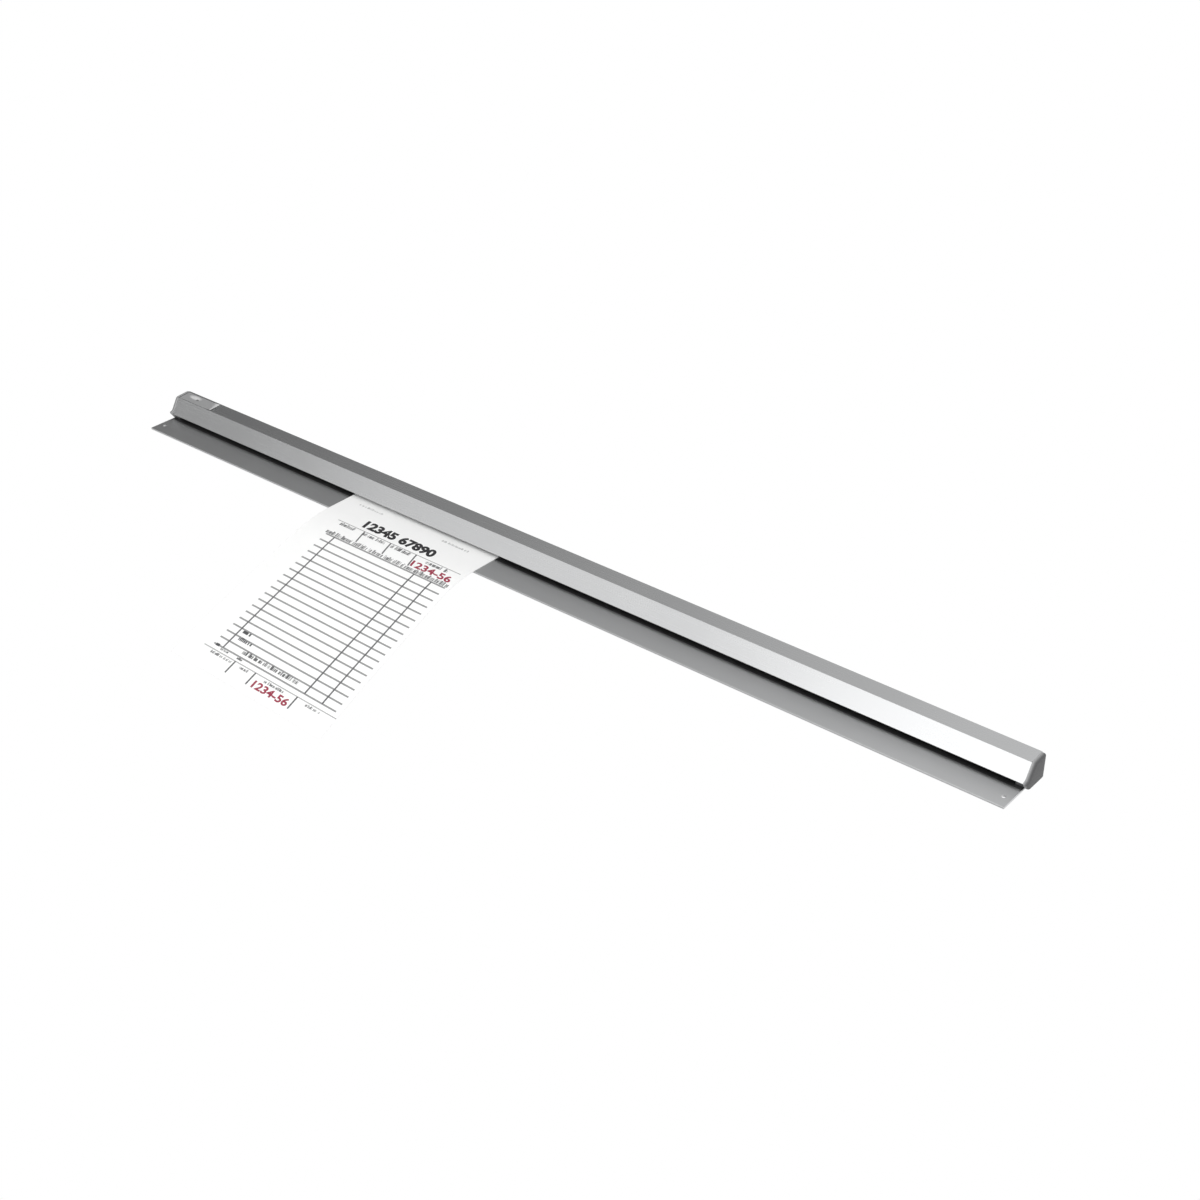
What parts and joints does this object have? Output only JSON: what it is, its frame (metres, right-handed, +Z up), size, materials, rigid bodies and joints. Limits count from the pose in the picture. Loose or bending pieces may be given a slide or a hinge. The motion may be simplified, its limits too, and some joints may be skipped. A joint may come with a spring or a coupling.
{
  "type": "order ticket rack",
  "caption": "Wall-mounted aluminium order rack: a long hooded rail with plastic end caps that grips paper slips between its back plate and loose glass marbles.",
  "frame": {"origin": "middle of the plate's flat back face, which lies on the wall", "axes": "+X along the rail, to the right for someone who faces the rack; +Y into the wall; +Z up"},
  "size_m": [0.6144, 0.0589, 0.1585],
  "materials": {
    "aluminium": "satin anodised, fine lines along the rail",
    "cap_plastic": "moulded, dark grey, fine grain",
    "label_film": "plain silver film, unprinted",
    "paper": "uncoated, ruled in grey with a red number",
    "glass": "clear, polished"
  },
  "bodies": {
    "rail": {"rail_extrusion": "aluminium", "end_cap_left": "cap_plastic", "end_cap_right": "cap_plastic", "blank_label": "label_film"},
    "slip": {"order_slip": "paper"},
    "marble_01_body": {"marble_01": "glass"},
    "marble_02_body": {"marble_02": "glass"},
    "marble_03_body": {"marble_03": "glass"},
    "marble_04_body": {"marble_04": "glass"},
    "marble_05_body": {"marble_05": "glass"},
    "marble_06_body": {"marble_06": "glass"},
    "marble_07_body": {"marble_07": "glass"},
    "marble_08_body": {"marble_08": "glass"},
    "marble_09_body": {"marble_09": "glass"},
    "marble_10_body": {"marble_10": "glass"},
    "marble_11_body": {"marble_11": "glass"},
    "marble_12_body": {"marble_12": "glass"},
    "marble_13_body": {"marble_13": "glass"},
    "marble_14_body": {"marble_14": "glass"},
    "marble_15_body": {"marble_15": "glass"},
    "marble_16_body": {"marble_16": "glass"},
    "marble_17_body": {"marble_17": "glass"},
    "marble_18_body": {"marble_18": "glass"},
    "marble_19_body": {"marble_19": "glass"},
    "marble_20_body": {"marble_20": "glass"},
    "marble_21_body": {"marble_21": "glass"},
    "marble_22_body": {"marble_22": "glass"},
    "marble_23_body": {"marble_23": "glass"},
    "marble_24_body": {"marble_24": "glass"},
    "marble_25_body": {"marble_25": "glass"},
    "marble_26_body": {"marble_26": "glass"},
    "marble_27_body": {"marble_27": "glass"},
    "marble_28_body": {"marble_28": "glass"},
    "marble_29_body": {"marble_29": "glass"},
    "marble_30_body": {"marble_30": "glass"}
  },
  "joints": [
    {"name": "slip_pull", "type": "slide", "parent": "rail", "child": "slip", "axis": [0, 0, -1], "range_m": [0, 0.012]},
    {"name": "marble_01_climb", "type": "slide", "parent": "rail", "child": "marble_01_body", "axis": [0, -0.8613, 0.5081], "range_m": [0, 0.0032]},
    {"name": "marble_02_climb", "type": "slide", "parent": "rail", "child": "marble_02_body", "axis": [0, -0.8613, 0.5081], "range_m": [0, 0.0032]},
    {"name": "marble_03_climb", "type": "slide", "parent": "rail", "child": "marble_03_body", "axis": [0, -0.8613, 0.5081], "range_m": [0, 0.0032]},
    {"name": "marble_04_climb", "type": "slide", "parent": "rail", "child": "marble_04_body", "axis": [0, -0.8613, 0.5081], "range_m": [0, 0.0032]},
    {"name": "marble_05_climb", "type": "slide", "parent": "rail", "child": "marble_05_body", "axis": [0, -0.8613, 0.5081], "range_m": [0, 0.0032]},
    {"name": "marble_06_climb", "type": "slide", "parent": "rail", "child": "marble_06_body", "axis": [0, -0.8613, 0.5081], "range_m": [0, 0.0032]},
    {"name": "marble_07_climb", "type": "slide", "parent": "rail", "child": "marble_07_body", "axis": [0, -0.8613, 0.5081], "range_m": [0, 0.0032]},
    {"name": "marble_08_climb", "type": "slide", "parent": "rail", "child": "marble_08_body", "axis": [0, -0.8613, 0.5081], "range_m": [0, 0.0032]},
    {"name": "marble_09_climb", "type": "slide", "parent": "rail", "child": "marble_09_body", "axis": [0, -0.8613, 0.5081], "range_m": [0, 0.0032]},
    {"name": "marble_10_climb", "type": "slide", "parent": "rail", "child": "marble_10_body", "axis": [0, -0.8613, 0.5081], "range_m": [0, 0.0032]},
    {"name": "marble_11_climb", "type": "slide", "parent": "rail", "child": "marble_11_body", "axis": [0, -0.8613, 0.5081], "range_m": [0, 0.0032]},
    {"name": "marble_12_climb", "type": "slide", "parent": "rail", "child": "marble_12_body", "axis": [0, -0.8613, 0.5081], "range_m": [0, 0.0032]},
    {"name": "marble_13_climb", "type": "slide", "parent": "rail", "child": "marble_13_body", "axis": [0, -0.8613, 0.5081], "range_m": [0, 0.0032]},
    {"name": "marble_14_climb", "type": "slide", "parent": "rail", "child": "marble_14_body", "axis": [0, -0.8613, 0.5081], "range_m": [0, 0.0032]},
    {"name": "marble_15_climb", "type": "slide", "parent": "rail", "child": "marble_15_body", "axis": [0, -0.8613, 0.5081], "range_m": [0, 0.0032]},
    {"name": "marble_16_climb", "type": "slide", "parent": "rail", "child": "marble_16_body", "axis": [0, -0.8613, 0.5081], "range_m": [0, 0.0032]},
    {"name": "marble_17_climb", "type": "slide", "parent": "rail", "child": "marble_17_body", "axis": [0, -0.8613, 0.5081], "range_m": [0, 0.0032]},
    {"name": "marble_18_climb", "type": "slide", "parent": "rail", "child": "marble_18_body", "axis": [0, -0.8613, 0.5081], "range_m": [0, 0.0032]},
    {"name": "marble_19_climb", "type": "slide", "parent": "rail", "child": "marble_19_body", "axis": [0, -0.8613, 0.5081], "range_m": [0, 0.0032]},
    {"name": "marble_20_climb", "type": "slide", "parent": "rail", "child": "marble_20_body", "axis": [0, -0.8613, 0.5081], "range_m": [0, 0.0032]},
    {"name": "marble_21_climb", "type": "slide", "parent": "rail", "child": "marble_21_body", "axis": [0, -0.8613, 0.5081], "range_m": [0, 0.0032]},
    {"name": "marble_22_climb", "type": "slide", "parent": "rail", "child": "marble_22_body", "axis": [0, -0.8613, 0.5081], "range_m": [0, 0.0032]},
    {"name": "marble_23_climb", "type": "slide", "parent": "rail", "child": "marble_23_body", "axis": [0, -0.8613, 0.5081], "range_m": [0, 0.0032]},
    {"name": "marble_24_climb", "type": "slide", "parent": "rail", "child": "marble_24_body", "axis": [0, -0.8613, 0.5081], "range_m": [0, 0.0032]},
    {"name": "marble_25_climb", "type": "slide", "parent": "rail", "child": "marble_25_body", "axis": [0, -0.8613, 0.5081], "range_m": [0, 0.0032]},
    {"name": "marble_26_climb", "type": "slide", "parent": "rail", "child": "marble_26_body", "axis": [0, -0.8613, 0.5081], "range_m": [0, 0.0032]},
    {"name": "marble_27_climb", "type": "slide", "parent": "rail", "child": "marble_27_body", "axis": [0, -0.8613, 0.5081], "range_m": [0, 0.0032]},
    {"name": "marble_28_climb", "type": "slide", "parent": "rail", "child": "marble_28_body", "axis": [0, -0.8613, 0.5081], "range_m": [0, 0.0032]},
    {"name": "marble_29_climb", "type": "slide", "parent": "rail", "child": "marble_29_body", "axis": [0, -0.8613, 0.5081], "range_m": [0, 0.0032]},
    {"name": "marble_30_climb", "type": "slide", "parent": "rail", "child": "marble_30_body", "axis": [0, -0.8613, 0.5081], "range_m": [0, 0.0032]}
  ]
}
